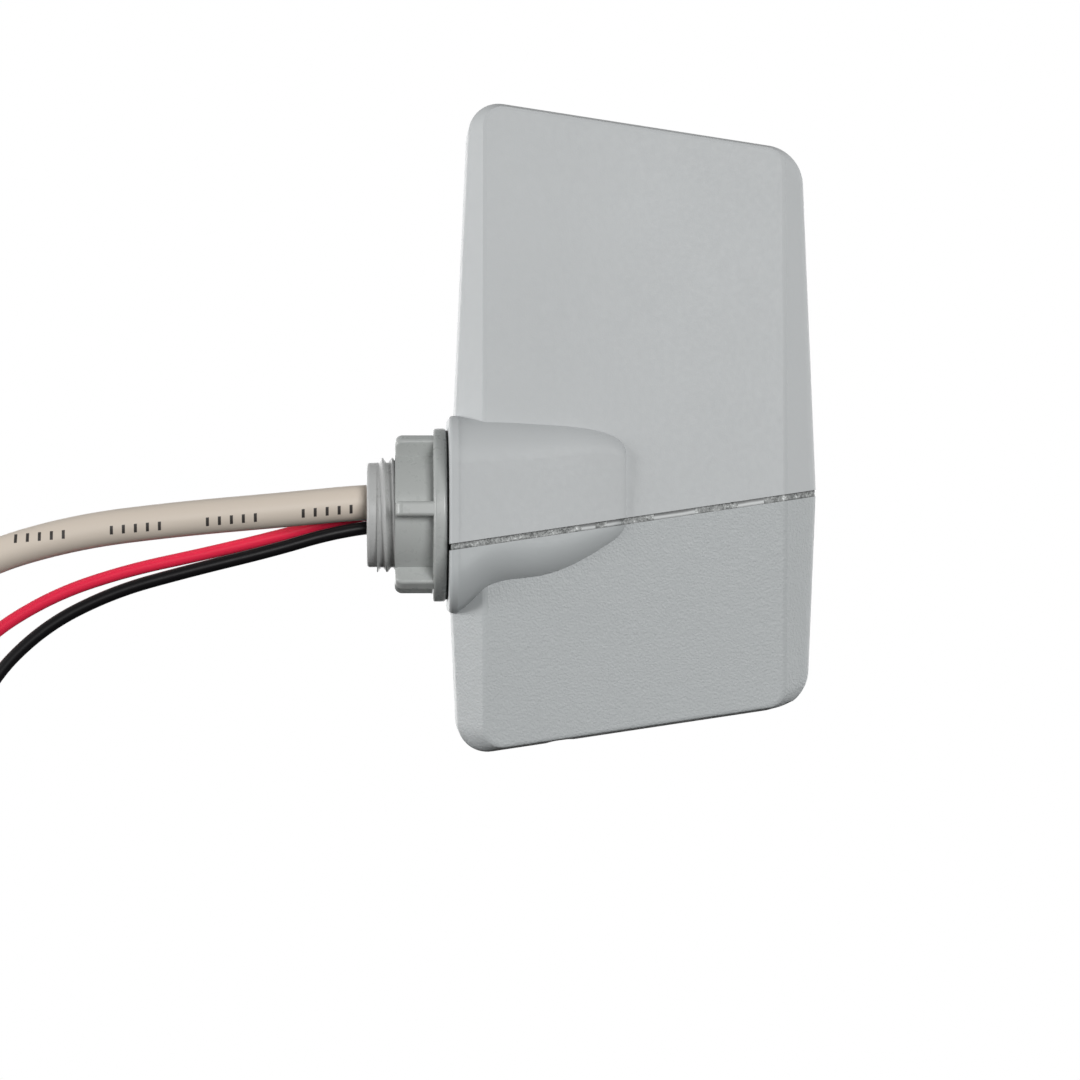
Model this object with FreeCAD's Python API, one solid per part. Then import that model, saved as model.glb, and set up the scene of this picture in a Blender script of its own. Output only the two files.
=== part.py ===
"""Slim two-shell status unit with a light-guide seam, a threaded conduit nipple and pigtail leads.

Millimetres, +Z up. Origin: centre of the collar's flat rear face, on the nipple's axis. +Y runs out of
the nipple, X is the unit's thickness. The two shells meet on a plane that leans by SPLIT_ANGLE about X.
"""

import FreeCAD, Part
import math
import os

V = FreeCAD.Vector
X_AXIS, Y_AXIS, Z_AXIS = V(1, 0, 0), V(0, 1, 0), V(0, 0, 1)

# Housing, seen from the side (the YZ plane)
SPLIT_ANGLE = 8.38          # lean of the seam, degrees: its front end is the higher one
SPLIT_Z = -5.96             # height of the seam's middle plane at y = 0
BACK_Y, FRONT_Y = -0.1, -67.8   # the end walls at the seam
BACK_DRAFT, FRONT_DRAFT = 2.65, 2.4
TOP_Z, TOP_ANGLE = 76.95, 8.6   # the roof at y = 0, and its fall towards the front
LOWER_HEIGHT = 38.3         # from the seam's middle plane to the bottom face, square to both
BACK_CORNER, FRONT_CORNER = 5.5, 7.5
# Housing, across its thickness
CENTRE_HALF = 9.0           # half width of the flat middle band
PANEL_HALF = 14.0           # half width over the side panels at the seam
PANEL_DRAFT = 2.0
PANEL_BACK, PANEL_FRONT = -6.4, -61.6
PANEL_INSET, PANEL_CORNER = 0.65, 3.5
EDGE_ROUND = ((0.7, 0.14, 0), (0.28, 0.06, 0.02), (0.07, 0, 0.18), (0, 0, 0.5))   # of the panel's rim
WALL = 2.6
# Light guide and its two seals
GUIDE_T = 1.2
GUIDE_RECESS, GUIDE_WIDTH = 0.3, 3.4
SEAL_OUT, SEAL_IN, SEAL_T = 1.0, 2.0, 0.8
# Cable boss on the rear wall
COLLAR_HALF, COLLAR_CORNER, COLLAR_T, COLLAR_EDGE = 18.1, 8.6, 1.6, 0.7
BOSS = (                    # y, height of the middle, half width, half height, corner radius
    (-1.0, 0.0, 18.0, 18.0, 8.5), (-3.0, 0.4, 17.85, 17.4, 8.5), (-7.0, 1.75, 17.6, 16.1, 8.3),
    (-16.0, 2.45, 16.95, 15.05, 7.4), (-23.4, 3.45, 16.1, 13.55, 6.2), (-28.5, 4.4, 15.3, 11.5, 4.8),
    (-31.4, 4.75, 14.8, 9.3, 3.4), (-32.3, 4.9, 14.5, 7.2, 2.4),
)
CORE_R, CORE_DEPTH = 16.4, 9.0  # solid block behind the collar that holds the nipple
# Conduit nipple, 1/2-14 straight pipe thread
THREAD_R, ROOT_R, PITCH = 10.6, 9.75, 25.4 / 14
SHANK_R, LEAD_R, LEAD_EDGE, BORE_R = 10.5, 9.7, 0.6, 7.9
THREAD_START, THREAD_END, NIPPLE_END = 2.6, 13.1, 15.0
FLANGE_R, FLANGE_Y, FLANGE_T = 13.5, -3.7, 2.5
NIPPLE_TAIL = -8.9
KEY_W, KEY_H, FIT = 4.0, 1.2, 0.12
RING_R, RING_SECTION = 12.0, 0.7
# Locknut and sealing washer
NUT_FLANGE_R, NUT_FLANGE_T, NUT_START, NUT_END = 16.1, 2.5, 0.33, 9.8
NUT_BODY_R, LUG_R, LUG_W, LUGS, LUG_TURN = 12.6, 15.85, 2.7, 6, 4.0
LUG_END, LUG_EDGE = 1.4, 0.6
THREAD_PLAY, NUT_MOUTH_R = 0.2, 11.1
WASHER_IN, WASHER_OUT, WASHER_T = 11.0, 15.7, 0.3
# Fasteners: four case screws from below, square to the seam
SCREW_X, SCREW_PLACES = 8.2, (-15.0, -56.0)
POST_R, WELL_POST_R, SCREW_R, HEAD_R, HEAD_T, WELL_R = 2.9, 3.8, 1.5, 2.5, 2.0, 2.7
SCREW_LENGTH, INSERT_R, INSERT_L = 18.0, 2.2, 5.0
# Boards
BOARD_T, BOARD_Y, BOARD_Z = 1.6, (-59.5, -12.0), (9.0, 62.0)
LED_BOARD_HALF, LED_BOARD_S, LED_BOARD_TOP = 4.3, (-62.0, -33.0), -1.6
# Cords: radius, and the places along each route from the seal's outer face to the far end
CABLE_R, WIRE_R = 3.25, 1.2
SEAL_Y = (-5.0, 4.0)
CABLE_AT, RED_AT, BLACK_AT = (-2.0, 2.6), (2.3, 0.5), (-2.7, -1.9)
CABLE_ROUTE = (
    (-2.0, 4.0, 2.6), (-2.0, 13.5, 2.6), (-2.0, 30.0, 0.95), (-2.0, 50.0, -0.8),
    (-1.8, 69.0, -3.2), (-1.2, 87.0, -8.5), (-0.5, 103.0, -19.0), (0.0, 114.0, -36.0),
    (0.2, 119.0, -58.0), (-0.4, 119.5, -84.0), (-0.8, 117.5, -114.0), (-0.6, 118.0, -150.0),
    (-0.3, 119.0, -186.0),
)
RED_ROUTE = (
    (2.3, 4.0, 0.5), (2.3, 12.0, 0.5), (2.35, 20.0, -0.7), (2.4, 30.0, -3.6),
    (2.6, 45.0, -7.2), (2.9, 60.0, -10.4), (3.4, 74.0, -15.2), (4.0, 87.0, -23.5),
    (4.4, 97.0, -37.0), (4.6, 102.5, -57.0), (4.4, 103.0, -83.0), (4.0, 101.0, -113.0),
    (4.2, 100.5, -145.0), (4.8, 102.0, -178.0), (4.9, 103.0, -210.0),
)
BLACK_ROUTE = (
    (-2.7, 4.0, -1.9), (-2.7, 12.0, -1.9), (-2.7, 22.0, -3.5), (-2.8, 32.0, -6.5),
    (-3.0, 48.0, -10.4), (-3.1, 62.0, -14.3), (-3.3, 75.0, -21.0), (-3.4, 85.5, -32.0),
    (-3.2, 91.5, -50.0), (-3.0, 93.0, -74.0), (-3.2, 91.5, -104.0), (-3.6, 90.0, -138.0),
    (-3.4, 90.5, -173.0), (-3.0, 92.0, -208.0),
)
PLUG = (11.7, 8.2, 21.5)    # modular data plug: width, depth, length
FERRULE_L, FERRULE_R = 10.0, 0.85

SPLIT = FreeCAD.Placement(V(0, 0, SPLIT_Z), FreeCAD.Rotation(X_AXIS, -SPLIT_ANGLE))
ALONG = SPLIT.Rotation.multVec(Y_AXIS)


def slope(degrees):
    return math.tan(math.radians(degrees))


def in_seam_frame(shape):
    """Place a shape that was drawn with the seam's middle plane as its XY plane."""
    shape.Placement = SPLIT.multiply(shape.Placement)
    return shape


def box(x, y, z):
    """A box from (low, high) pairs."""
    low = V(x[0], y[0], z[0])
    return Part.makeBox(x[1] - x[0], y[1] - y[0], z[1] - z[0], low)


def rod(radius, y0, y1, x=0.0, z=0.0):
    """A cylinder along Y."""
    return Part.makeCylinder(radius, y1 - y0, V(x, y0, z), Y_AXIS)


def tube(outer, inner, y0, y1):
    return rod(outer, y0, y1).cut(rod(inner, y0 - 1, y1 + 1))


def soften(solid, radius, wanted):
    """Fillet the edges that wanted(edge) picks."""
    return solid.makeFillet(radius, [e for e in solid.Edges if wanted(e)])


# ---- Housing ------------------------------------------------------------------------------------


def corners(lines, inset):
    """The corners of a closed outline whose sides are (point, angle) lines, each moved in by inset."""
    moved = []
    for (y, z), angle in lines:
        a = math.radians(angle)
        moved.append((y - inset * math.sin(a), z + inset * math.cos(a), math.cos(a), math.sin(a)))
    points = []
    for (y1, z1, c1, s1), (y2, z2, c2, s2) in zip(moved, moved[1:] + moved[:1]):
        t = ((y2 - y1) * s2 - (z2 - z1) * c2) / (c1 * s2 - s1 * c2)
        points.append(V(0, y1 + t * c1, z1 + t * s1))
    return points


def rounded_outline(points, radii):
    """A closed wire through the points with each corner rounded to its radius."""
    arcs = []
    last, following = points[-1:] + points[:-1], points[1:] + points[:1]
    for before, at, after, radius in zip(last, points, following, radii):
        a, b = (before - at).normalize(), (after - at).normalize()
        half = a.getAngle(b) / 2
        middle = at + (a + b).normalize() * (radius / math.sin(half) - radius)
        reach = radius / math.tan(half)
        arcs.append((at + a * reach, middle, at + b * reach))
    edges = []
    for arc, next_arc in zip(arcs, arcs[1:] + arcs[:1]):
        edges.append(Part.Arc(*arc).toShape())
        edges.append(Part.makeLine(arc[2], next_arc[0]))
    return Part.Wire(edges)


def side_lines(upper):
    """The middle band's outline and the side panel's, as (point, angle) lines that run anticlockwise."""
    front_z = SPLIT_Z - slope(SPLIT_ANGLE) * FRONT_Y
    way = 1 if upper else -1
    back = ((BACK_Y, SPLIT_Z), 90 + way * BACK_DRAFT)
    front = ((FRONT_Y, front_z), -90 - way * FRONT_DRAFT)
    panel_back, panel_front = ((PANEL_BACK, 0), 90), ((PANEL_FRONT, 0), -90)
    if upper:
        far = ((0, TOP_Z), 180 + TOP_ANGLE)
        panel_far = ((0, TOP_Z - PANEL_INSET), 180 + TOP_ANGLE)
        near = ((0, SPLIT_Z - 14), -SPLIT_ANGLE)
        return [near, back, far, front], [near, panel_back, panel_far, panel_front]
    drop = LOWER_HEIGHT / math.cos(math.radians(SPLIT_ANGLE))
    far = ((0, SPLIT_Z - drop), -SPLIT_ANGLE)
    panel_far = ((0, SPLIT_Z - drop + PANEL_INSET), -SPLIT_ANGLE)
    near = ((0, SPLIT_Z + 14), 180 - SPLIT_ANGLE)
    return [far, back, near, front], [panel_far, panel_back, near, panel_front]


def stations(inset):
    """Half of the loft's sections: distance from the middle, share of the way to the panel, inset."""
    if inset:
        return ((CENTRE_HALF - 0.45 * inset, 0, inset), (PANEL_HALF - inset, 1, inset))
    reach = PANEL_HALF - CENTRE_HALF
    soft = [(CENTRE_HALF + d, (d + 1) ** 2 / (4 * reach), 0) for d in (-1, -0.3, 0.3, 1)]
    edge = [(PANEL_HALF - d, 1 - share, k) for d, share, k in EDGE_ROUND]
    return soft + edge


def shell_block(upper, inset):
    """One shell's outer form as a solid that runs past the seam, with every face moved in by inset."""
    middle, panel = side_lines(upper)
    radii = (0.5, BACK_CORNER, FRONT_CORNER, 0.5) if upper else (BACK_CORNER, 0.5, 0.5, FRONT_CORNER)
    half = []
    for x, share, pull in stations(inset):
        ends = zip(corners(middle, pull), corners(panel, pull))
        points = [a * (1 - share) + b * share for a, b in ends]
        sizes = [max(0.4, r + share * (min(PANEL_CORNER, r) - r) - 0.7 * pull) for r in radii]
        half.append((x, share, rounded_outline(points, sizes)))
    sections = []
    for side, steps in ((-1, half[::-1]), (1, half)):
        for x, share, outline in steps:
            section = outline.copy()
            section.translate(V(side * x, 0, 0))
            turn = share * PANEL_DRAFT * (-side if upper else side)
            section.rotate(V(side * x, 0, SPLIT_Z), ALONG, turn)
            sections.append(section)
    return Part.makeLoft(sections, True, True)


def boss_block(inset, end_inset=None):
    """The cable boss: rounded-rectangle sections whose centre rises towards the front."""
    shorten = inset if end_inset is None else end_inset
    first, last = BOSS[0][0], BOSS[-1][0]
    sections = []
    for y, middle, half_x, half_z, radius in BOSS:
        y += shorten * (y - first) / (last - first)
        section = rounded_rectangle(y, half_x - inset, half_z - inset, max(0.8, radius - inset))
        section.translate(V(0, 0, middle))
        sections.append(section)
    return Part.makeLoft(sections, True, False)


def rounded_rectangle(y, x, z, radius):
    """A wire across Y with the half sizes x and z."""
    ring = [V(-x, y, -z), V(x, y, -z), V(x, y, z), V(-x, y, z)]
    return rounded_outline(ring, (radius,) * 4)


def collar(inset=0.0):
    """The flat end of the boss that the enclosure's wall seats against."""
    half = COLLAR_HALF - inset
    face = Part.Face(rounded_rectangle(-inset, half, half, COLLAR_CORNER - inset))
    plate = face.extrude(V(0, inset - COLLAR_T, 0))
    if inset:
        return plate
    return soften(plate, COLLAR_EDGE, lambda e: e.BoundBox.YMin > -0.01)


def largest(shape):
    """The biggest solid of a result, without the slivers beside it."""
    return max(shape.Solids, key=lambda s: s.Volume)


def slab(low, high):
    """The space between two planes parallel to the seam."""
    return in_seam_frame(box((-40, 40), (-120, 60), (low, high)))


def ring_between(outer_inset, inner_inset, low, high):
    """A band of the housing's plan at the seam, between two insets and two heights."""
    layer = slab(low, high)
    outer = shell_block(True, outer_inset).fuse(boss_block(outer_inset)).fuse(collar(outer_inset))
    inner = shell_block(True, inner_inset).fuse(boss_block(inner_inset))
    inner = inner.cut(rod(CORE_R - inner_inset, -CORE_DEPTH - 1, 2))
    return largest(layer.common(outer).cut(inner).cut(nipple_pocket()))


def nipple_pocket():
    """The space that the nipple takes out of the two shells, with its running gap."""
    bore = rod(SHANK_R + FIT, NIPPLE_TAIL - 5, 1)
    groove = rod(FLANGE_R + FIT, FLANGE_Y - FLANGE_T - FIT, FLANGE_Y + 0.2)
    key = box(
        (-KEY_W / 2 - FIT, KEY_W / 2 + FIT),
        (FLANGE_Y - FLANGE_T - FIT, FLANGE_Y + 0.2),
        (0, FLANGE_R + KEY_H + FIT),
    )
    return bore.fuse(groove).fuse(key)


def screw_places():
    return [(side * SCREW_X, y) for y in SCREW_PLACES for side in (-1, 1)]


def posts(low, high, radius):
    """Round posts at the case screws, square to the seam."""
    made = [Part.makeCylinder(radius, high - low, V(x, y, low)) for x, y in screw_places()]
    return in_seam_frame(Part.makeCompound(made))


def post_webs(low, high):
    """Ribs that tie the rear posts to the side walls, where the hollow boss leaves them free."""
    y = SCREW_PLACES[0]
    left, right = ((-COLLAR_HALF, -SCREW_X - SCREW_R), (SCREW_X + SCREW_R, COLLAR_HALF))
    ribs = [box(x, (y - 0.8, y + 0.8), (low, high)) for x in (left, right)]
    return in_seam_frame(Part.makeCompound(ribs))


def card_rails():
    """Two ribs each side of the main board's front and rear edges."""
    made = []
    for y0, y1 in ((BOARD_Y[0] - 6, BOARD_Y[0] + 2.2), (BOARD_Y[1] - 2.2, BOARD_Y[1] + 9)):
        for side in (-1, 1):
            x = sorted((side * (BOARD_T / 2 + 0.1), side * (BOARD_T / 2 + 1.7)))
            made.append(box(x, (y0, y1), (16, 58)))
    return made


def upper_shell(cavity):
    body = shell_block(True, 0).fuse(boss_block(0)).fuse(collar())
    body = body.common(slab(GUIDE_T / 2, 120)).cut(cavity)
    inside = shell_block(True, 0.4)
    for piece in card_rails():
        body = body.fuse(piece.common(inside))
    stems = posts(-GUIDE_T / 2, GUIDE_T / 2 + 1, POST_R)
    body = body.fuse(posts(GUIDE_T / 2, 16, POST_R).common(inside)).fuse(stems)
    body = body.fuse(post_webs(GUIDE_T / 2, 16).common(inside.fuse(boss_block(0.4))))
    body = body.cut(posts(-2, INSERT_L, INSERT_R)).cut(posts(INSERT_L - 1, 12, SCREW_R + 0.2))
    return body.cut(nipple_pocket()).cut(seal_ring(True))


def lower_shell(cavity):
    body = shell_block(False, 0).fuse(boss_block(0)).fuse(collar())
    body = body.common(slab(-120, -GUIDE_T / 2)).cut(cavity)
    inside = shell_block(False, 0.4)
    body = body.fuse(posts(-LOWER_HEIGHT, -GUIDE_T / 2, WELL_POST_R).common(inside))
    body = body.fuse(post_webs(-16, -GUIDE_T / 2).common(inside.fuse(boss_block(0.4))))
    for place in led_screw_places():
        pillar = Part.makeCylinder(2.4, LOWER_HEIGHT + LED_BOARD_TOP - BOARD_T, V(*place, -LOWER_HEIGHT))
        pillar = pillar.cut(Part.makeCylinder(0.9, 8, V(*place, LED_BOARD_TOP - BOARD_T - 8)))
        body = body.fuse(in_seam_frame(pillar).common(inside))
    seat = SCREW_LENGTH - INSERT_L
    body = body.cut(posts(-LOWER_HEIGHT - 5, -seat, WELL_R)).cut(posts(-seat - 1, 1, SCREW_R + 0.2))
    return body.cut(nipple_pocket()).cut(seal_ring(False))


def cavity_of(upper):
    """The hollow inside a shell, which stops short of the block that holds the nipple."""
    hollow = shell_block(upper, WALL).fuse(boss_block(WALL, 2 * WALL))
    return hollow.cut(rod(CORE_R + 6, -CORE_DEPTH, 5))


def seal_ring(upper):
    low, high = (GUIDE_T / 2, GUIDE_T / 2 + SEAL_T) if upper else (-GUIDE_T / 2 - SEAL_T, -GUIDE_T / 2)
    return ring_between(SEAL_OUT, SEAL_IN, low, high)


def light_guide():
    ring = ring_between(GUIDE_RECESS, GUIDE_WIDTH, -GUIDE_T / 2, GUIDE_T / 2)
    return largest(ring.cut(posts(-3, 3, POST_R + 0.2)))


# ---- Nipple, locknut and seals --------------------------------------------------------------------


def thread_cutter(shallow, deep, start, end, play):
    """A helical groove between two radii, opening towards deep: it cuts a rod or a bore."""
    run = Part.makeHelix(PITCH, end - start, shallow)
    mouth, floor = PITCH * 0.42 + play, PITCH * 0.1 + play
    beyond = shallow + (shallow - deep) * 0.15
    wide = mouth + (mouth - floor) * 0.15
    points = [V(beyond, 0, -wide), V(beyond, 0, wide), V(deep, 0, floor), V(deep, 0, -floor)]
    profile = Part.makePolygon(points + points[:1])
    groove = Part.Wire(run.Edges).makePipeShell([profile], True, True)
    groove.rotate(V(0, 0, 0), X_AXIS, -90)
    groove.translate(V(0, start, 0))
    return groove


def conduit_nipple():
    body = rod(SHANK_R, NIPPLE_TAIL, THREAD_START).fuse(rod(THREAD_R, THREAD_START, THREAD_END))
    lead = rod(LEAD_R, THREAD_END, NIPPLE_END)
    body = body.fuse(soften(lead, LEAD_EDGE, lambda e: e.BoundBox.YMin > NIPPLE_END - 0.1))
    body = body.fuse(rod(FLANGE_R, FLANGE_Y - FLANGE_T, FLANGE_Y))
    key = box((-KEY_W / 2, KEY_W / 2), (FLANGE_Y - FLANGE_T, FLANGE_Y), (0, FLANGE_R + KEY_H))
    body = body.fuse(key).removeSplitter()
    body = body.cut(tube(RING_R + RING_SECTION, RING_R - RING_SECTION, FLANGE_Y - 1.2, FLANGE_Y + 1))
    body = body.cut(thread_cutter(THREAD_R, ROOT_R, THREAD_START, THREAD_END + PITCH / 2, 0))
    return body.cut(rod(BORE_R, NIPPLE_TAIL - 1, NIPPLE_END + 1))


def nipple_o_ring():
    centre_y = FLANGE_Y + 0.2 - RING_SECTION
    return Part.makeTorus(RING_R, RING_SECTION, V(0, centre_y, 0), Y_AXIS)


def is_lug_tip(edge):
    return edge.BoundBox.XMin > LUG_R - 0.1 and edge.BoundBox.YMin > NUT_END - 0.1


def is_lug_side(edge):
    return edge.BoundBox.ZLength < 0.01 and edge.BoundBox.YMax > NUT_START + 1


def locknut():
    flange = rod(NUT_FLANGE_R, NUT_START, NUT_START + NUT_FLANGE_T)
    flange = soften(flange, 0.6, lambda e: len(e.Vertexes) == 1)
    body = flange.fuse(rod(NUT_BODY_R, NUT_START, NUT_END))
    for i in range(LUGS):
        lug = box((0, LUG_R), (NUT_START + 0.5, NUT_END), (-LUG_W / 2, LUG_W / 2))
        lug = soften(lug, LUG_END, is_lug_tip)
        lug = soften(lug, LUG_EDGE, is_lug_side)
        lug.rotate(V(0, 0, 0), Y_AXIS, 180 + LUG_TURN + i * 360 / LUGS)
        body = body.fuse(lug)
    minor = ROOT_R + THREAD_PLAY
    body = body.cut(rod(minor, NUT_START - 1, NUT_END + 1))
    body = body.cut(rod(NUT_MOUTH_R, NUT_START - 1, THREAD_START + 0.6 * PITCH))
    return body.cut(nut_thread(minor))


def nut_thread(minor):
    """The nut's internal thread: the nipple's own ridge, made larger by the play all round."""
    run_start, run_end = THREAD_START - PITCH, NUT_END + PITCH / 2
    run = Part.makeHelix(PITCH, run_end - run_start, minor)
    base, tip = PITCH * 0.4 + THREAD_PLAY / 2, PITCH * 0.08 + THREAD_PLAY
    inner, outer = minor - 0.15, THREAD_R + THREAD_PLAY
    points = [V(inner, 0, -base), V(inner, 0, base), V(outer, 0, tip), V(outer, 0, -tip)]
    profile = Part.makePolygon(points + points[:1])
    ridge = Part.Wire(run.Edges).makePipeShell([profile], True, True)
    ridge.rotate(V(0, 0, 0), X_AXIS, -90)
    ridge.translate(V(0, run_start + PITCH / 2, 0))
    return ridge


def sealing_washer():
    return tube(WASHER_OUT, WASHER_IN, 0, WASHER_T)


def cable_seal():
    """Soft plug in the nipple's bore with one hole for each cord."""
    plug = rod(BORE_R, *SEAL_Y)
    for (x, z), radius in ((CABLE_AT, CABLE_R), (RED_AT, WIRE_R), (BLACK_AT, WIRE_R)):
        plug = plug.cut(rod(radius, SEAL_Y[0] - 1, SEAL_Y[1] + 1, x, z))
    return plug


# ---- Electronics ----------------------------------------------------------------------------------

BOARD_FACE = BOARD_T / 2    # the main board stands in the YZ plane, on the unit's middle
HEADER_X = -BOARD_FACE - 3.6
TERMINAL_X, TERMINAL_YS = BOARD_FACE + 4.2, (-22.8, -28.2)


def led_screw_places():
    return [(0, -40.0), (0, -57.0)]


def rounded_box(x, y, z, radius):
    """A box whose edges along X are rounded."""
    block = box(x, y, z)
    return soften(block, radius, lambda e: e.BoundBox.XLength > 0.9 * (x[1] - x[0]))


def on_board(side, height, y, z, radius=0.3):
    """A component on the main board's +X (1) or -X (-1) face."""
    x = sorted((side * BOARD_FACE, side * (BOARD_FACE + height)))
    return rounded_box(x, y, z, radius)


def board_can(radius, height, y, z):
    """A round component that stands on the main board's +X face."""
    can = Part.makeCylinder(radius, height, V(BOARD_FACE, y, z), X_AXIS)
    return soften(can, 0.6, lambda e: e.BoundBox.XMin > BOARD_FACE + height - 0.1)


def main_board():
    low, high = BOARD_Z
    y0, y1 = BOARD_Y
    rear = [V(0, y1 - 3, low), V(0, y1, low + 10), V(0, y1, high)]
    outline = [V(0, y0, low), *rear, V(0, y0 + 2, high - 4)]
    outline = rounded_outline(outline, (1, 1, 1, 1, 1))
    outline.translate(V(-BOARD_FACE, 0, 0))
    return Part.Face(outline).extrude(V(BOARD_T, 0, 0))


def led_board():
    s0, s1 = LED_BOARD_S
    half = LED_BOARD_HALF
    plate = box((-half, half), (s0, s1), (LED_BOARD_TOP - BOARD_T, LED_BOARD_TOP))
    plate = soften(plate, 1.0, lambda e: e.BoundBox.ZLength > 0.9 * BOARD_T)
    for place in led_screw_places():
        plate = plate.cut(Part.makeCylinder(1.2, 5, V(*place, LED_BOARD_TOP - 3)))
    return in_seam_frame(plate)


def leds():
    """Side-firing lamps along the LED board's long edges and one at its front, below the light guide."""
    s0, s1 = LED_BOARD_S
    made = []
    for i in range(5):
        s = s0 + 4 + i * (s1 - s0 - 8) / 4
        for side in (-1, 1):
            x = sorted((side * (LED_BOARD_HALF - 1.6), side * LED_BOARD_HALF))
            made.append(box(x, (s - 1.6, s + 1.6), (LED_BOARD_TOP, LED_BOARD_TOP + 1.3)))
    made.append(box((-1.6, 1.6), (s0, s0 + 1.6), (LED_BOARD_TOP, LED_BOARD_TOP + 1.3)))
    return in_seam_frame(Part.makeCompound(made))


def led_ribbon():
    """Flat cable that climbs from the LED board's rear end to the main board's lower edge."""
    s, n = LED_BOARD_S[1] - 2.0, LED_BOARD_TOP
    plug = in_seam_frame(box((-2.5, 2.5), (s - 1.5, s + 1.5), (n, n + 1.0)))
    start = SPLIT.multVec(V(0, s, n + 1.0))
    top = V(BOARD_FACE + 0.2, start.y, BOARD_Z[0] + 4)
    near = [start - V(0, 0, 0.05), start + V(1.2, 0, 2.2), top]
    far = [p + V(0.3, 0, 0) for p in reversed(near)]
    bends = Part.Arc(*near).toShape(), Part.Arc(*far).toShape()
    ends = Part.makeLine(near[2], far[0]), Part.makeLine(far[2], near[0])
    strip = Part.Face(Part.Wire([bends[0], ends[0], bends[1], ends[1]]))
    strip = strip.extrude(V(0, 4.4, 0))
    strip.translate(V(0, -2.2, 0))
    return largest(plug.fuse(strip))


def screw(length, radius, head_radius, head_height, place, direction):
    """A pan-head screw with a cross recess: place is under the head, direction is along the shank."""
    shank = Part.makeCylinder(radius, length)
    head = Part.makeCylinder(head_radius, head_height, V(0, 0, -head_height))
    head = soften(head, 0.35, lambda e: e.BoundBox.ZMax < -head_height + 0.05)
    made = shank.fuse(head)
    for turn in (0, 90):
        reach = 0.6 * head_radius
        slot = box((-reach, reach), (-0.3, 0.3), (-head_height - 1, -head_height * 0.45))
        slot.rotate(V(0, 0, 0), Z_AXIS, turn)
        made = made.cut(slot)
    made.Placement = FreeCAD.Placement(place, FreeCAD.Rotation(Z_AXIS, direction))
    return made


def case_screws():
    seat = -(SCREW_LENGTH - INSERT_L)
    made = []
    for x, y in screw_places():
        made.append(screw(SCREW_LENGTH, SCREW_R - 0.02, HEAD_R, HEAD_T, V(x, y, seat), Z_AXIS))
    return in_seam_frame(Part.makeCompound(made))


def threaded_inserts():
    low = -GUIDE_T / 2
    made = []
    for x, y in screw_places():
        sleeve = Part.makeCylinder(INSERT_R, INSERT_L - low, V(x, y, low))
        made.append(sleeve.cut(Part.makeCylinder(SCREW_R, INSERT_L + 3, V(x, y, low - 1))))
    return in_seam_frame(Part.makeCompound(made))


def led_screws():
    made = []
    for place in led_screw_places():
        made.append(screw(6.0, 0.88, 1.9, 1.2, V(*place, LED_BOARD_TOP), -Z_AXIS))
    return in_seam_frame(Part.makeCompound(made))


def processor_chips():
    places = (
        (-1, 1.2, (-50, -38), (40, 52)),
        (-1, 1.0, (-33, -26), (50, 55)),
        (1, 1.4, (-56, -49), (44, 52)),
    )
    return Part.makeCompound([on_board(*place) for place in places])


def board_capacitors():
    places = ((-53, 28.5), (-53, 36), (-45, 28.5))
    return Part.makeCompound([board_can(3.1, 7.5, y, z) for y, z in places])


def wire_terminal():
    block = on_board(1, 6.5, (-31, -20), (12, 19), 0.5)
    for y in TERMINAL_YS:
        block = block.cut(Part.makeCylinder(1.5, 3, V(BOARD_FACE + 4.6, y, 15.5), X_AXIS))
        block = block.cut(Part.makeCylinder(WIRE_R * 0.8, 4, V(TERMINAL_X, y, 10), Z_AXIS))
    return block


def data_header():
    block = on_board(-1, 7.6, (-32, -20.5), (14, 20), 0.5)
    return block.cut(Part.makeCylinder(CABLE_R - 1.2, 4, V(HEADER_X, -26.5, 12), Z_AXIS))


def radio_shield():
    can = on_board(-1, 2.6, (-35, -15), (24, 42), 1.0)
    return soften(can, 0.5, lambda e: e.BoundBox.XMax < -BOARD_FACE - 2.5)


def antenna_plate():
    """Stamped aerial above the radio: an upright blade on a foot that is soldered to the board."""
    blade = rounded_box((-4.6, -4.2), (-50, -22), (53.5, 64.5), 1.5)
    slot = box((-5, -4), (-46, -24), (56.5, 59))
    foot = box((-4.6, -BOARD_FACE), (-38, -35), (53.5, 53.9))
    return blade.cut(slot).fuse(foot)


# ---- Wiring and cords -----------------------------------------------------------------------------


def cord_path(route):
    """Straight runs joined by tangent arcs, as large as the runs beside them allow, and their radii."""
    points = [V(*p) for p in route]
    edges, radii, at = [], [], points[0]
    for before, corner, after in zip(points, points[1:], points[2:]):
        back, on = before - corner, after - corner
        turn = math.pi - back.getAngle(on)
        shorter = min(back.Length, on.Length)
        radius = 0.45 * shorter / math.tan(turn / 2)
        a, b = corner + back.normalize() * 0.45 * shorter, corner + on.normalize() * 0.45 * shorter
        bisector = (back + on).normalize()
        middle = corner + bisector * (radius / math.cos(turn / 2) - radius)
        edges += [Part.makeLine(at, a), Part.Arc(a, middle, b).toShape()]
        radii.append(radius)
        at = b
    edges.append(Part.makeLine(at, points[-1]))
    return Part.Wire(edges), radii


def swept(route, radius):
    """A round solid along a route, with its path's length and radii."""
    path, radii = cord_path(route)
    section = Part.Wire(Part.makeCircle(radius, V(*route[0]), V(*route[1]) - V(*route[0])))
    return path.makePipeShell([section], True, False), path.Length, radii


def cord(name, route, radius):
    """A free cord, with a printout that compares its volume with section times length."""
    solid, length, radii = swept(route, radius)
    share = solid.Volume / (math.pi * radius**2 * length)
    print(f"{name}: length {length:.1f}, volume share {share:.4f}, radii", *(round(r) for r in radii))
    return solid


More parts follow.
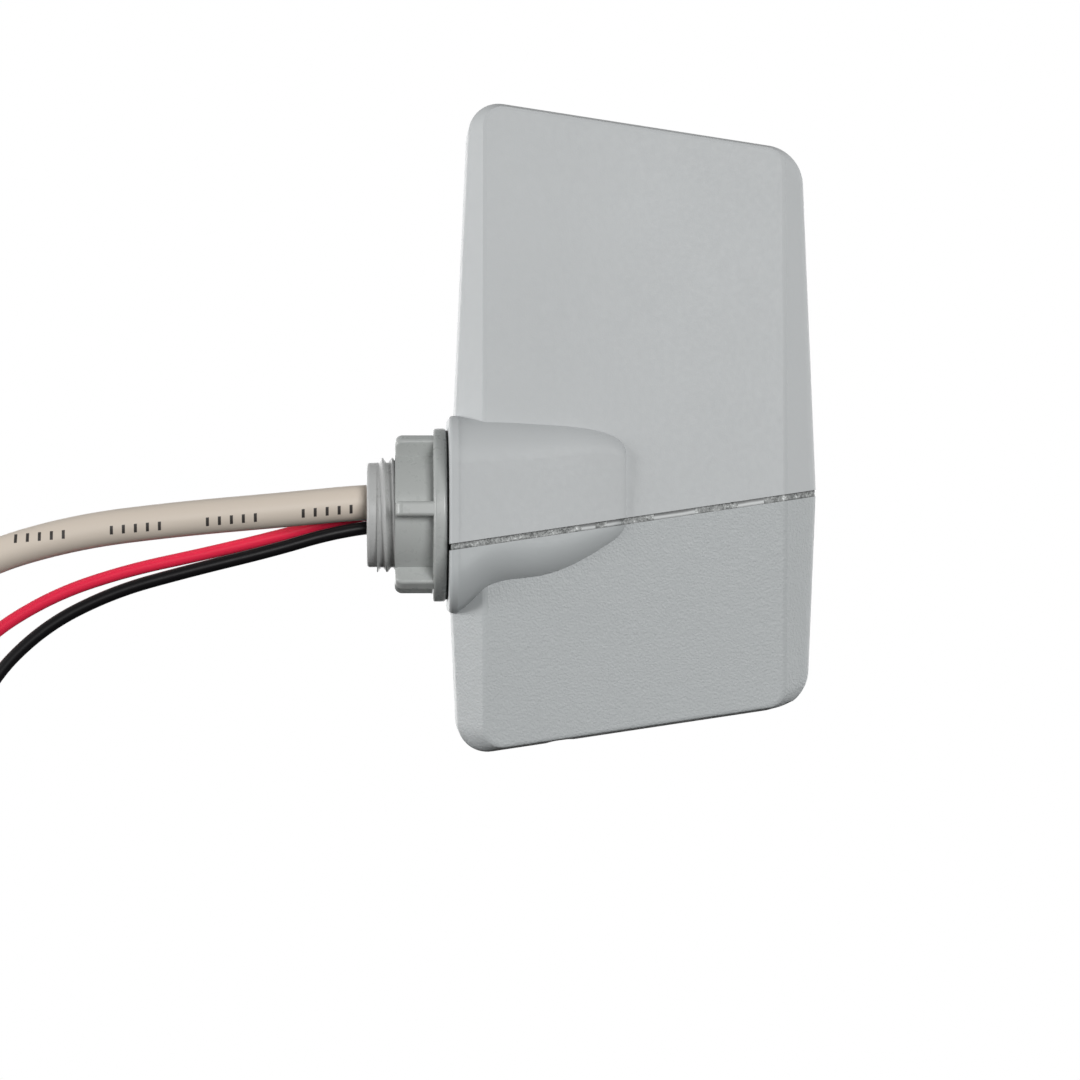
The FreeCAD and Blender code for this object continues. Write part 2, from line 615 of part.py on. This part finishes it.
def inner_routes():
    """Each cord's stretch inside the housing, from the seal's outer face to its connector."""
    y0, y1 = SEAL_Y
    (cx, cz), (rx, rz), (bx, bz) = CABLE_AT, RED_AT, BLACK_AT
    cable = (
        (cx, y1, cz), (cx, -12.0, cz), (cx - 0.6, -21.0, cz + 1.6), (HEADER_X, -26.5, 9.0),
        (HEADER_X, -26.5, 13.95),
    )
    terminal = (TERMINAL_X, TERMINAL_YS[0], 11.95), (TERMINAL_X, TERMINAL_YS[1], 11.95)
    red = ((rx, y1, rz), (rx, -11.0, rz), (4.4, -19.5, rz + 1.5), (TERMINAL_X, -22.8, 7.5), terminal[0])
    black = ((bx, y1, bz), (bx, -10.0, bz), (0.8, -19.0, bz - 0.5), (TERMINAL_X, -28.2, 2.5), terminal[1])
    return cable, red, black


def cable_tie():
    """Strap round the three cords just inside the nipple, with its lock block."""
    strap = rounded_box((0, 3.0), (-6.3, 6.3), (-4.7, 7.4), 3.0)
    hole = rounded_box((-1, 4.0), (-5.5, 5.5), (-3.9, 6.6), 2.2)
    lock = box((-0.4, 3.4), (-2.2, 2.2), (7.0, 9.4))
    tie = strap.cut(hole).fuse(lock)
    tie.rotate(V(0, 0, 0), Z_AXIS, -90)
    tie.translate(V(0, SEAL_Y[0] - 4.5, 0))
    return tie


def at_end(route, shape):
    """Place a shape drawn from the origin along +Z so that it carries on from the route's end."""
    direction = V(*route[-1]) - V(*route[-2])
    shape.Placement = FreeCAD.Placement(V(*route[-1]), FreeCAD.Rotation(Z_AXIS, direction))
    return shape


def contact_places():
    return [(i - 3.5) * 1.02 for i in range(8)]


def data_plug():
    """Modular plug: boot, body with contact slots, and the latch on one side."""
    width, depth, length = PLUG
    body = box((-width / 2, width / 2), (-depth / 2, depth / 2), (6.0, 6.0 + length))
    body = soften(body, 0.4, lambda e: e.BoundBox.ZLength > length - 1)
    for x in contact_places():
        body = body.cut(box((x - 0.25, x + 0.25), (-depth, -depth / 2 + 1.0), (length - 0.5, length + 7)))
    latch = box((-3.0, 3.0), (0, 0.9), (0, length - 4))
    latch.rotate(V(0, 0, 0), X_AXIS, -9)
    latch.translate(V(0, depth / 2 + 0.2, 9.0))
    root = box((-3.0, 3.0), (depth / 2 - 0.5, depth / 2 + 1.0), (length + 1.0, length + 5.0))
    boot = Part.makeCone(CABLE_R + 0.5, 4.2, 6.4)
    hub = Part.makeBox(10.4, 7.4, 3.0, V(-5.2, -3.7, 3.4))
    return largest(body.fuse(boot.fuse(hub)).fuse(latch).fuse(root))


def plug_contacts():
    depth, length = PLUG[1:]
    made = []
    for x in contact_places():
        y = (-depth / 2 + 0.25, -depth / 2 + 1.0)
        made.append(box((x - 0.16, x + 0.16), y, (length, length + 5.6)))
    return Part.makeCompound(made)


def ferrule():
    """Crimped wire end: an insulating collar and a metal sleeve."""
    collar_part = Part.makeCone(WIRE_R + 0.35, WIRE_R + 0.1, 6.0)
    sleeve = Part.makeCylinder(FERRULE_R, FERRULE_L, V(0, 0, 6.0))
    return collar_part.fuse(sleeve)


def make_all():
    upper_hollow, lower_hollow = cavity_of(True), cavity_of(False)
    inner_cable, inner_red, inner_black = inner_routes()
    return {
        "upper_shell": upper_shell(upper_hollow),
        "lower_shell": lower_shell(lower_hollow),
        "light_guide": light_guide(),
        "upper_seal": seal_ring(True),
        "lower_seal": seal_ring(False),
        "conduit_nipple": conduit_nipple(),
        "nipple_o_ring": nipple_o_ring(),
        "cable_seal": cable_seal(),
        "sealing_washer": sealing_washer(),
        "locknut": locknut(),
        "case_screws": case_screws(),
        "threaded_inserts": threaded_inserts(),
        "main_board": main_board(),
        "processor_chips": processor_chips(),
        "board_capacitors": board_capacitors(),
        "power_inductor": on_board(1, 5.0, (-40, -30), (24, 34), 1.5),
        "wire_terminal": wire_terminal(),
        "data_header": data_header(),
        "radio_shield": radio_shield(),
        "antenna_plate": antenna_plate(),
        "led_board": led_board(),
        "leds": leds(),
        "led_screws": led_screws(),
        "led_ribbon": led_ribbon(),
        "cable_tie": cable_tie(),
        "inner_data_cable": swept(inner_cable, CABLE_R)[0],
        "inner_red_lead": swept(inner_red, WIRE_R)[0],
        "inner_black_lead": swept(inner_black, WIRE_R)[0],
        "data_cable": cord("data_cable", CABLE_ROUTE, CABLE_R),
        "red_lead": cord("red_lead", RED_ROUTE, WIRE_R),
        "black_lead": cord("black_lead", BLACK_ROUTE, WIRE_R),
        "data_plug": at_end(CABLE_ROUTE, data_plug()),
        "plug_contacts": at_end(CABLE_ROUTE, plug_contacts()),
        "red_ferrule": at_end(RED_ROUTE, ferrule()),
        "black_ferrule": at_end(BLACK_ROUTE, ferrule()),
    }


def main():
    os.makedirs("parts", exist_ok=True)
    for name, shape in make_all().items():
        shape.exportStep(f"parts/{name}.step")


main()
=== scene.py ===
"""Slim conduit-mounted status unit: two grey shells with a light-guide seam, a threaded nipple and its cords.

The frame holds every CAD body. This script adds the camera, the cords, the materials and the studio.
"""

import math

import bpy
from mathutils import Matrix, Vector


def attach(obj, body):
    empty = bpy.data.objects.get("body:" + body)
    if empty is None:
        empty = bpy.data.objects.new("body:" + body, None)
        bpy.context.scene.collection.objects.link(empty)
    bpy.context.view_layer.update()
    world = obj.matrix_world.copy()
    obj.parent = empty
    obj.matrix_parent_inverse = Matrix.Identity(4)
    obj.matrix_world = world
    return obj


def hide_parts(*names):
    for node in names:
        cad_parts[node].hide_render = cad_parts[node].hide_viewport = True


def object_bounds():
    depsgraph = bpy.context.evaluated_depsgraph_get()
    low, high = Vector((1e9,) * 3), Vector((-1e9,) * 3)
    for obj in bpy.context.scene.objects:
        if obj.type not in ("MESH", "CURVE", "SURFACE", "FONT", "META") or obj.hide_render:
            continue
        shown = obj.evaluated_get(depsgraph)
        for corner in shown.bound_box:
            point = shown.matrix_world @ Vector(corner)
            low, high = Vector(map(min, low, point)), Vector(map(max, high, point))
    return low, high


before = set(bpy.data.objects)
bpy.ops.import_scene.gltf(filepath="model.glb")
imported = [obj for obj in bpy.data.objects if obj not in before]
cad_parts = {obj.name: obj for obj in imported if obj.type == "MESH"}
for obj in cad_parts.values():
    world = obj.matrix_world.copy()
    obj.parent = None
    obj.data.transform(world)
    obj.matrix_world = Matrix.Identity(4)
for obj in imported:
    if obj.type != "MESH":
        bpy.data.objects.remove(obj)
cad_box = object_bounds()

MM = 0.001
HOUSING = "housing"

# ---- Camera ---------------------------------------------------------------------------------------

LOOK_AT = Vector((0.0, -17.2, -4.65)) * MM
DISTANCE, TURN = 0.700, math.radians(2.6)
LENS, SENSOR = 125.4, 36.0


def make_camera():
    data = bpy.data.cameras.new("camera")
    data.lens, data.sensor_width = LENS, SENSOR
    data.clip_start, data.clip_end = 0.01, 50.0
    camera = bpy.data.objects.new("camera", data)
    bpy.context.scene.collection.objects.link(camera)
    away = Vector((-math.cos(TURN), math.sin(TURN), 0.0))
    camera.location = LOOK_AT + away * DISTANCE
    camera.rotation_euler = (-away).to_track_quat("-Z", "Y").to_euler()
    bpy.context.scene.camera = camera


make_camera()

# ---- Cords ----------------------------------------------------------------------------------------

CABLE_RADIUS, LEAD_RADIUS = 3.25 * MM, 1.2 * MM
CABLE_ROUTE = (
    (-2.0, 4.0, 2.6), (-2.0, 13.5, 2.6), (-2.0, 30.0, 0.95), (-2.0, 50.0, -0.8),
    (-1.8, 69.0, -3.2), (-1.2, 87.0, -8.5), (-0.5, 103.0, -19.0), (0.0, 114.0, -36.0),
    (0.2, 119.0, -58.0), (-0.4, 119.5, -84.0), (-0.8, 117.5, -114.0), (-0.6, 118.0, -150.0),
    (-0.3, 119.0, -186.0),
)
RED_ROUTE = (
    (2.3, 4.0, 0.5), (2.3, 12.0, 0.5), (2.35, 20.0, -0.7), (2.4, 30.0, -3.6),
    (2.6, 45.0, -7.2), (2.9, 60.0, -10.4), (3.4, 74.0, -15.2), (4.0, 87.0, -23.5),
    (4.4, 97.0, -37.0), (4.6, 102.5, -57.0), (4.4, 103.0, -83.0), (4.0, 101.0, -113.0),
    (4.2, 100.5, -145.0), (4.8, 102.0, -178.0), (4.9, 103.0, -210.0),
)
BLACK_ROUTE = (
    (-2.7, 4.0, -1.9), (-2.7, 12.0, -1.9), (-2.7, 22.0, -3.5), (-2.8, 32.0, -6.5),
    (-3.0, 48.0, -10.4), (-3.1, 62.0, -14.3), (-3.3, 75.0, -21.0), (-3.4, 85.5, -32.0),
    (-3.2, 91.5, -50.0), (-3.0, 93.0, -74.0), (-3.2, 91.5, -104.0), (-3.6, 90.0, -138.0),
    (-3.4, 90.5, -173.0), (-3.0, 92.0, -208.0),
)


def make_cord(name, node, route, radius):
    """A smooth hanging cord in place of a CAD node. The bevel is 1 m, and each point's radius scales it."""
    curve = bpy.data.curves.new(name, "CURVE")
    curve.dimensions = "3D"
    curve.bevel_depth = 1.0
    curve.bevel_resolution = 8
    curve.resolution_u = 16
    curve.use_fill_caps = True
    spline = curve.splines.new("NURBS")
    spline.points.add(len(route) - 1)
    for point, place in zip(spline.points, route):
        point.co = (*(value * MM for value in place), 1.0)
        point.radius = radius
    spline.order_u = 3
    spline.use_endpoint_u = True
    cord = bpy.data.objects.new(name, curve)
    bpy.context.scene.collection.objects.link(cord)
    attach(cord, HOUSING)
    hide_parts(node)
    return cord


cable = make_cord(
    "cream_data_cable", "data_cable", CABLE_ROUTE, CABLE_RADIUS
)
red_lead = make_cord(
    "red_power_lead", "red_lead", RED_ROUTE, LEAD_RADIUS
)
black_lead = make_cord(
    "black_power_lead", "black_lead", BLACK_ROUTE, LEAD_RADIUS
)

# ---- Materials ------------------------------------------------------------------------------------


def linear(*srgb):
    """An 8-bit sRGB colour as linear RGBA."""
    parts = [c / 255 for c in srgb]
    return (*(c / 12.92 if c <= 0.04045 else ((c + 0.055) / 1.055) ** 2.4 for c in parts), 1.0)


class Surface:
    """A Principled material with short ways to add nodes."""

    def __init__(self, name, colour, roughness, **settings):
        self.material = bpy.data.materials.new(name)
        self.material.use_nodes = True
        self.tree = self.material.node_tree
        self.shader = self.tree.nodes["Principled BSDF"]
        self.set(self.shader, {"Base Color": colour, "Roughness": roughness, **settings})
        self.place = self.add("ShaderNodeTexCoord").outputs["Object"]

    def set(self, node, values):
        for name, value in values.items():
            node.inputs[name].default_value = value

    def add(self, kind, inputs=None, links=None, **settings):
        node = self.tree.nodes.new(kind)
        for name, value in settings.items():
            setattr(node, name, value)
        self.set(node, inputs or {})
        for name, socket in (links or {}).items():
            self.tree.links.new(socket, node.inputs[name])
        return node

    def noise(self, scale, detail=2.0, place=None, **inputs):
        values = {"Scale": scale, "Detail": detail, **inputs}
        return self.add("ShaderNodeTexNoise", values, {"Vector": place or self.place}).outputs["Fac"]

    def stretched(self, scale):
        """The place, multiplied along each axis."""
        node = self.add("ShaderNodeMapping", {"Scale": scale}, {"Vector": self.place})
        return node.outputs["Vector"]

    def ramp(self, factor, stops):
        node = self.add("ShaderNodeValToRGB", links={"Fac": factor})
        elements = node.color_ramp.elements
        while len(elements) < len(stops):
            elements.new(1.0)
        for element, (position, colour) in zip(elements, stops):
            element.position, element.color = position, colour
        return node.outputs["Color"]

    def math(self, operation, a, b=0.0):
        node = self.add("ShaderNodeMath", operation=operation)
        for socket, value in zip(node.inputs, (a, b)):
            if isinstance(value, (int, float)):
                socket.default_value = value
            else:
                self.tree.links.new(value, socket)
        return node.outputs[0]

    def mix(self, factor, a, b, blend="MIX"):
        """A colour between a and b, which are colours or sockets."""
        node = self.add("ShaderNodeMix", data_type="RGBA", blend_type=blend)
        sockets = {s.identifier: s for s in node.inputs}
        for name, value in (("Factor_Float", factor), ("A_Color", a), ("B_Color", b)):
            if isinstance(value, (int, float, tuple)):
                sockets[name].default_value = value
            else:
                self.tree.links.new(value, sockets[name])
        return next(s for s in node.outputs if s.identifier == "Result_Color")

    def wire(self, name, socket):
        self.tree.links.new(socket, self.shader.inputs[name])

    def bump(self, height, depth, strength=1.0, over=None):
        links = {"Height": height}
        if over is not None:
            links["Normal"] = over
        node = self.add("ShaderNodeBump", {"Strength": strength, "Distance": depth}, links)
        return node.outputs["Normal"]


# The slow cloudiness and swell of moulded plastic, in cycles per metre
CLOUD_SCALE, SWELL_SCALE, SWELL_DEPTH = 35.0, 30.0, 0.03 * MM
# The boss stands out past X, and over the rear bevel, from Y on, it reaches down to Z
BOSS_X, BOSS_Y, BOSS_Z = 14.15 * MM, -7.0 * MM, -18.0 * MM


def off_the_boss(surface):
    """1 on the panels and end walls, and 0 on the boss, whose mould was left smooth."""
    axes = surface.add("ShaderNodeSeparateXYZ", links={"Vector": surface.place}).outputs
    proud = surface.math("GREATER_THAN", surface.math("ABSOLUTE", axes["X"]), BOSS_X)
    rear = surface.math("GREATER_THAN", axes["Y"], BOSS_Y)
    high = surface.math("GREATER_THAN", axes["Z"], BOSS_Z)
    boss = surface.math("MAXIMUM", proud, surface.math("MULTIPLY", rear, high))
    return surface.math("SUBTRACT", 1.0, boss)


def moulded(name, colour, roughness, grain, depth, mottle=0.02, where=None):
    """Moulded plastic: a fine spark-eroded grain, faint cloudiness and an uneven gloss."""
    surface = Surface(name, colour, roughness)
    cloud = surface.noise(CLOUD_SCALE, 2.0)
    light = tuple(min(1.0, c * (1 + mottle)) for c in colour[:3]) + (1.0,)
    dark = tuple(c * (1 - mottle) for c in colour[:3]) + (1.0,)
    surface.wire("Base Color", surface.ramp(cloud, [(0.3, dark), (0.7, light)]))
    grains = surface.noise(grain, 2.0)
    if where is not None:
        grains = surface.math("MULTIPLY", grains, where(surface))
    low, high = (roughness - 0.05,) * 3 + (1.0,), (roughness + 0.05,) * 3 + (1.0,)
    surface.wire("Roughness", surface.ramp(surface.noise(grain / 3), [(0.3, low), (0.7, high)]))
    fine = surface.bump(grains, depth)
    surface.wire("Normal", surface.bump(surface.noise(SWELL_SCALE, 1.0), SWELL_DEPTH, 0.4, fine))
    return surface.material


# The light guide's smooth windows, as (rear, front) places along Y, and its leaning middle plane
WINDOWS = ((-24.0, -26.6), (-28.7, -31.4), (-37.4, -45.0), (-52.8, -57.6))
SEAM_Z, SEAM_LEAN, GUIDE_HALF = -5.96 * MM, 0.1473, 0.6 * MM
# How far a window's painted shade line strays, as a share of the guide's thickness, and the relief of the
# grain
WANDER, GUIDE_RELIEF = 0.22, 0.2 * MM


def light_guide_material():
    """Clear plastic seen edge on: finely grained, with smooth windows that show a dark upper half; the glints,
    the bright lines and the dark bands are painted light and shade.
    """
    surface = Surface("guide_clear_textured", linear(150, 155, 156), 0.35, IOR=1.5)
    axes = surface.add("ShaderNodeSeparateXYZ", links={"Vector": surface.place}).outputs
    rise = surface.math("ADD", axes["Z"], surface.math("MULTIPLY", axes["Y"], SEAM_LEAN))
    height = surface.math("DIVIDE", surface.math("SUBTRACT", rise, SEAM_Z), 2 * GUIDE_HALF)
    height = surface.math("ADD", height, 0.5)
    wander = surface.math("MULTIPLY", surface.noise(300.0, 1.0), WANDER)
    tilted = surface.math("ADD", height, surface.math("SUBTRACT", wander, WANDER / 2))

    grain = surface.noise(2300.0, 4.0)
    facet = surface.noise(1100.0, 1.0, surface.stretched((1.0, 0.45, 1.0)))
    both = surface.math("ADD", surface.math("MULTIPLY", grain, 0.6), surface.math("MULTIPLY", facet, 0.4))
    # painted glints: the grain ramp's brightest stops paint the sparkle of light off the clear plastic's
    # facets
    stops = [(0.36, 92), (0.46, 136), (0.53, 160), (0.60, 192), (0.66, 252)]
    grain_with_painted_glints = surface.ramp(both, [(at, linear(v, v + 3, v + 2)) for at, v in stops])
    # painted light and shade: the windows' pale lower band and dark upper band paint light and shade seen
    # through the clear plastic
    stops = [(0.0, 118), (0.12, 186), (0.46, 196), (0.60, 148), (0.74, 92), (1.0, 84)]
    smooth = surface.ramp(tilted, [(at, linear(v, v + 3, v + 3)) for at, v in stops])

    window = 0.0
    for rear, front in WINDOWS:
        middle, half = (rear + front) / 2 * MM, (rear - front) / 2 * MM
        away = surface.math("ABSOLUTE", surface.math("SUBTRACT", axes["Y"], middle))
        inside = surface.math("LESS_THAN", away, half)
        window = surface.math("MAXIMUM", window, inside)
    colour = surface.mix(window, grain_with_painted_glints, smooth)
    # painted light and shade over the whole guide: a painted highlight as a bright line low on the grained
    # parts, and a painted shade line along the top edge
    edge = [(0.0, 96), (0.13, 200), (0.30, 255), (0.60, 235), (0.80, 200), (0.90, 104), (1.0, 76)]
    painted_highlight_and_shade = surface.ramp(height, [(at, linear(v, v, v)) for at, v in edge])
    surface.wire("Base Color", surface.mix(0.85, colour, painted_highlight_and_shade, "MULTIPLY"))
    relief = surface.math("MULTIPLY", both, surface.math("SUBTRACT", 1.0, window))
    surface.wire("Normal", surface.bump(relief, GUIDE_RELIEF))
    return surface.material


# The ticks follow the fall of the cable's straight stretch, a little below its middle, where it faces -X
TICK_FALL, TICK_RISE, TICK_DROP, TICK_HALF = 0.088, 3.7 * MM, 1.1 * MM, 0.8 * MM
TICK_SIDE, TICK_SPACING, GROUP_SPACING = -3.0 * MM, 2.2 * MM, 17.6 * MM
TICK_SHARE, GROUP_SHARE = 0.26, 0.62


def cable_jacket():
    """Cream jacket with a soft sheen and groups of plain length ticks along the side."""
    cream = linear(222, 210, 196)
    surface = Surface("jacket_cream", cream, 0.42)
    axes = surface.add("ShaderNodeSeparateXYZ", links={"Vector": surface.place}).outputs

    def repeated(spacing, share):
        """1 over the first share of each spacing along Y."""
        turn = surface.math("FRACT", surface.math("DIVIDE", axes["Y"], spacing))
        return surface.math("LESS_THAN", turn, share)

    fall = surface.math("ADD", surface.math("MULTIPLY", axes["Y"], TICK_FALL), -TICK_RISE)
    height = surface.math("ADD", surface.math("ADD", axes["Z"], fall), TICK_DROP)
    band = surface.math("LESS_THAN", surface.math("ABSOLUTE", height), TICK_HALF)
    side = surface.math("LESS_THAN", axes["X"], TICK_SIDE)
    ticks = surface.math("MULTIPLY", band, repeated(TICK_SPACING, TICK_SHARE))
    ink = surface.math("MULTIPLY", ticks, surface.math("MULTIPLY", side, repeated(GROUP_SPACING, GROUP_SHARE)))
    surface.wire("Base Color", surface.mix(ink, cream, linear(64, 60, 58)))
    ripple = surface.noise(160.0, 2.0, surface.stretched((1.0, 0.3, 1.0)))
    surface.wire("Normal", surface.bump(ripple, 0.00012, 0.6))
    return surface.material


def insulation(name, colour, roughness):
    """Extruded wire insulation with a faint unevenness."""
    surface = Surface(name, colour, roughness)
    surface.wire("Normal", surface.bump(surface.noise(240.0, 2.0), 0.00006, 0.6))
    return surface.material


def metal(name, colour, roughness, scale=900.0):
    """Bare metal with an uneven gloss."""
    surface = Surface(name, colour, roughness, Metallic=1.0)
    low, high = (roughness - 0.08,) * 3 + (1.0,), (roughness + 0.1,) * 3 + (1.0,)
    surface.wire("Roughness", surface.ramp(surface.noise(scale), [(0.3, low), (0.7, high)]))
    surface.wire("Normal", surface.bump(surface.noise(scale * 2), 0.00002))
    return surface.material


def circuit_board():
    """Green solder mask over paler tracks."""
    mask, track = linear(22, 84, 48), linear(48, 128, 78)
    surface = Surface("board_green", mask, 0.35)
    settings = {"feature": "DISTANCE_TO_EDGE"}
    tracks = surface.add("ShaderNodeTexVoronoi", {"Scale": 420.0}, {"Vector": surface.place}, **settings)
    surface.wire("Base Color", surface.ramp(tracks.outputs["Distance"], [(0.03, track), (0.07, mask)]))
    return surface.material


def give(material, *nodes):
    for name in nodes:
        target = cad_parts[name]
        target.data.materials.clear()
        target.data.materials.append(material)


SHELL_GREY = linear(192, 195, 196)
give(moulded("shell_smooth", SHELL_GREY, 0.55, 3200.0, 0.000012), "upper_shell")
stippled_grey = moulded("shell_stippled", linear(182, 186, 187), 0.5, 2300.0, 0.00014, 0.012, off_the_boss)
give(stippled_grey, "lower_shell")
give(light_guide_material(), "light_guide")
give(moulded("nipple_grey", linear(188, 189, 188), 0.3, 2400.0, 0.00001), "conduit_nipple")
give(moulded("locknut_grey", linear(177, 180, 178), 0.3, 2400.0, 0.000015), "locknut")
black_rubber = moulded("seal_black", linear(16, 16, 17), 0.6, 3000.0, 0.00002)
give(black_rubber, "sealing_washer", "upper_seal", "lower_seal", "nipple_o_ring")
give(moulded("seal_silicone", linear(84, 86, 88), 0.5, 1800.0, 0.00002), "cable_seal")
give(circuit_board(), "main_board", "led_board")
black_epoxy = moulded("component_black", linear(24, 24, 26), 0.45, 2600.0, 0.00001)
give(black_epoxy, "processor_chips", "power_inductor", "data_header")
give(moulded("connector_green", linear(34, 120, 66), 0.4, 2400.0, 0.00001), "wire_terminal")
give(metal("steel_plated", linear(188, 188, 190), 0.32), "case_screws", "led_screws")
tin = metal("tin_bright", linear(200, 200, 200), 0.28)
give(tin, "radio_shield", "antenna_plate", "red_ferrule", "black_ferrule")
give(metal("can_aluminium", linear(190, 192, 196), 0.35), "board_capacitors")
give(metal("brass_turned", linear(196, 158, 88), 0.3), "threaded_inserts")
give(metal("contact_gold", linear(212, 172, 92), 0.22), "plug_contacts")
give(moulded("lamp_yellow", linear(226, 212, 150), 0.25, 1500.0, 0.00001), "leds")
give(moulded("ribbon_white", linear(222, 222, 216), 0.5, 1500.0, 0.00001), "led_ribbon")
give(moulded("tie_nylon", linear(224, 222, 214), 0.4, 1500.0, 0.00001), "cable_tie")
give(moulded("plug_grey", linear(186, 188, 190), 0.22, 1500.0, 0.00001), "data_plug")
jacket = cable_jacket()
red = insulation("insulation_red", linear(252, 50, 84), 0.26)
black = insulation("insulation_black", linear(22, 21, 23), 0.3)
give(jacket, "inner_data_cable")
give(red, "inner_red_lead")
give(black, "inner_black_lead")
for cord, material, slot in (
    (cable, jacket, "cable_jacket"),
    (red_lead, red, "red_insulation"),
    (black_lead, black, "black_insulation"),
):
    cord.data.materials.append(material)

# ---- Studio ---------------------------------------------------------------------------------------

FLOOR_DROP, FLOOR_R, FLOOR_SIDES, FLOOR_GLOW = 0.03, 0.9, 128, 0.32
WHITE, FLOOR_WHITE = (1.0, 1.0, 1.0, 1.0), (0.95, 0.95, 0.95, 1.0)
# (position, level) stops: downwards to upwards, and from the camera's side to the far side
WORLD_BY_HEIGHT = ((0.0, 0.0), (0.36, 0.03), (0.45, 1.0), (0.57, 1.0), (0.68, 0.20), (1.0, 0.08))
WORLD_BY_DEPTH = ((0.0, 0.24), (0.3, 0.30), (0.42, 1.3), (0.6, 2.0), (1.0, 2.0))
WORLD_STRENGTH = 1.3


def make_floor():
    """A pale disc below the cords' ends. No light comes from it back on to the object."""
    mesh = bpy.data.meshes.new("floor")
    turns = [2 * math.pi * side / FLOOR_SIDES for side in range(FLOOR_SIDES)]
    level = cad_box[0][2] - FLOOR_DROP
    rim = [(FLOOR_R * math.cos(turn), FLOOR_R * math.sin(turn), level) for turn in turns]
    mesh.from_pydata(rim, [], [tuple(range(FLOOR_SIDES))])
    floor = bpy.data.objects.new("floor", mesh)
    bpy.context.scene.collection.objects.link(floor)
    surface = Surface("floor_white", FLOOR_WHITE, 0.9)
    glow = {"Specular IOR Level": 0.0, "Emission Color": FLOOR_WHITE, "Emission Strength": FLOOR_GLOW}
    surface.set(surface.shader, glow)
    floor.data.materials.append(surface.material)
    floor.visible_diffuse = floor.visible_glossy = False


def make_world():
    """A light tent: bright behind and at the sides at eye level, dimmer in front, overhead and underfoot."""
    world = bpy.data.worlds.new("studio")
    world.use_nodes = True
    nodes, links = world.node_tree.nodes, world.node_tree.links

    def add(kind, **settings):
        node = nodes.new(kind)
        for name, value in settings.items():
            setattr(node, name, value)
        return node

    def ramp(value, stops):
        spread = add("ShaderNodeMapRange")
        spread.inputs["From Min"].default_value, spread.inputs["From Max"].default_value = -1.0, 1.0
        band = add("ShaderNodeValToRGB")
        while len(band.color_ramp.elements) < len(stops):
            band.color_ramp.elements.new(1.0)
        for element, (position, level) in zip(band.color_ramp.elements, stops):
            element.position, element.color = position, (level, level, level, 1.0)
        links.new(value, spread.inputs["Value"])
        links.new(spread.outputs["Result"], band.inputs["Fac"])
        return band.outputs["Color"]

    axes = add("ShaderNodeSeparateXYZ")
    links.new(add("ShaderNodeTexCoord").outputs["Generated"], axes.inputs["Vector"])
    both = add("ShaderNodeVectorMath", operation="MULTIPLY")
    links.new(ramp(axes.outputs["Z"], WORLD_BY_HEIGHT), both.inputs[0])
    links.new(ramp(axes.outputs["X"], WORLD_BY_DEPTH), both.inputs[1])
    tent, backdrop = nodes["Background"], add("ShaderNodeBackground")
    links.new(both.outputs["Vector"], tent.inputs["Color"])
    tent.inputs["Strength"].default_value = WORLD_STRENGTH
    backdrop.inputs["Color"].default_value = WHITE
    # what is seen past the floor is plain white, whatever the tent's level there
    seen = add("ShaderNodeMixShader")
    links.new(add("ShaderNodeLightPath").outputs["Is Camera Ray"], seen.inputs["Fac"])
    links.new(tent.outputs["Background"], seen.inputs[1])
    links.new(backdrop.outputs["Background"], seen.inputs[2])
    links.new(seen.outputs["Shader"], nodes["World Output"].inputs["Surface"])
    bpy.context.scene.world = world


def make_light(name, place, target, size, power):
    """A square area light that faces a target."""
    data = bpy.data.lights.new(name, "AREA")
    data.shape, data.size, data.energy = "SQUARE", size, power
    light = bpy.data.objects.new(name, data)
    bpy.context.scene.collection.objects.link(light)
    light.location = place
    light.rotation_euler = (Vector(target) - Vector(place)).to_track_quat("-Z", "Y").to_euler()


make_floor()
make_world()
make_light("key", (-1.0, -0.30, 0.22), LOOK_AT, 0.4, 6.9)
make_light("side", (-0.34, 1.0, 0.12), LOOK_AT, 0.4, 4.4)
bpy.context.scene.view_settings.view_transform = "Standard"
